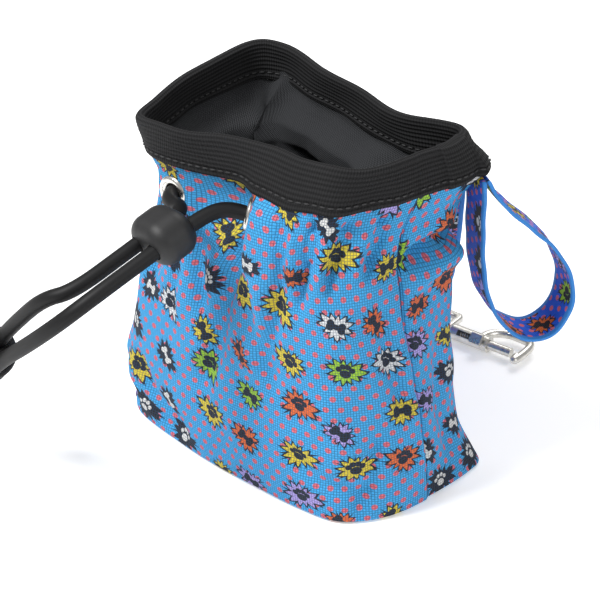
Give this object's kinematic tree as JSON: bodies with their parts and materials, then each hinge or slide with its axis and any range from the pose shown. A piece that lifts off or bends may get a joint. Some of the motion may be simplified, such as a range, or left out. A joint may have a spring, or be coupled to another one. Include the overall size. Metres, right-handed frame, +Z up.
{
  "type": "treat pouch",
  "caption": "Drawstring treat pouch: printed fabric bag with a bound open mouth, elastic draw cord with a sliding lock, ribbon hanging loop and a strap that ends in a swivel bolt snap.",
  "frame": {"origin": "centre of the base, on the ground the pouch stands on", "axes": "+Z up out of the mouth; -Y is the front panel with the two eyelets; +X is the side with the visible seam"},
  "size_m": [0.1633, 0.2047, 0.118],
  "materials": {
    "printed_fabric": "woven polyester, printed",
    "lining_fabric": "woven, matte",
    "binding_tape": "ribbed tape",
    "nickel": "nickel plated",
    "elastic_cord": "braided",
    "lock_rubber": "satin moulded",
    "ribbon": "satin, printed",
    "spring_steel": "bright wire"
  },
  "bodies": {
    "pouch": {"front_panel": "printed_fabric", "back_panel": "printed_fabric", "base_panel": "printed_fabric", "lining_wall": "lining_fabric", "lining_base": "lining_fabric", "rim_binding": "binding_tape", "eyelet_left": "nickel", "eyelet_right": "nickel", "eyelet_washer_left": "nickel", "eyelet_washer_right": "nickel", "draw_cord_loop": "elastic_cord", "draw_cord_left": "elastic_cord", "draw_cord_right": "elastic_cord", "cord_knot": "elastic_cord"},
    "lock": {"cord_lock": "lock_rubber"},
    "loop": {"hang_loop": "ribbon"},
    "strap": {"clip_strap": "ribbon"},
    "eye": {"swivel_eye": "nickel"},
    "snap": {"snap_body": "nickel", "bolt_spring": "spring_steel"},
    "bolt": {"snap_bolt": "nickel"}
  },
  "joints": [
    {"name": "cord_lock_slide", "type": "slide", "parent": "pouch", "child": "lock", "axis": [-0.1005, -0.9449, -0.3116], "range_m": [0, 0.015]},
    {"name": "hang_loop_swing", "type": "hinge", "parent": "pouch", "child": "loop", "pos_m": [0.0454, 0.0318, 0.1044], "axis": [0.8827, -0.4699, 0], "range_deg": [-5, 40], "stiffness_Nm_per_rad": 0.005, "springref_deg": 3.44},
    {"name": "clip_strap_swing", "type": "hinge", "parent": "pouch", "child": "strap", "pos_m": [0.0315, 0.0314, 0.1044], "axis": [0.9371, 0.349, 0], "range_deg": [-15, 60]},
    {"name": "swivel_eye_rock", "type": "hinge", "parent": "strap", "child": "eye", "pos_m": [-0.014, 0.079, 0.0032], "axis": [-0.1392, 0.9903, 0], "range_deg": [-20, 30]},
    {"name": "snap_swivel", "type": "hinge", "parent": "eye", "child": "snap", "pos_m": [-0.014, 0.079, 0.0032], "axis": [0.9903, 0.1392, 0], "continuous": true},
    {"name": "bolt_pull", "type": "slide", "parent": "snap", "child": "bolt", "axis": [-0.9903, -0.1392, 0], "range_m": [0, 0.0065], "stiffness_N_per_m": 120, "springref_m": -0.002, "deforming": ["bolt_spring"]}
  ]
}
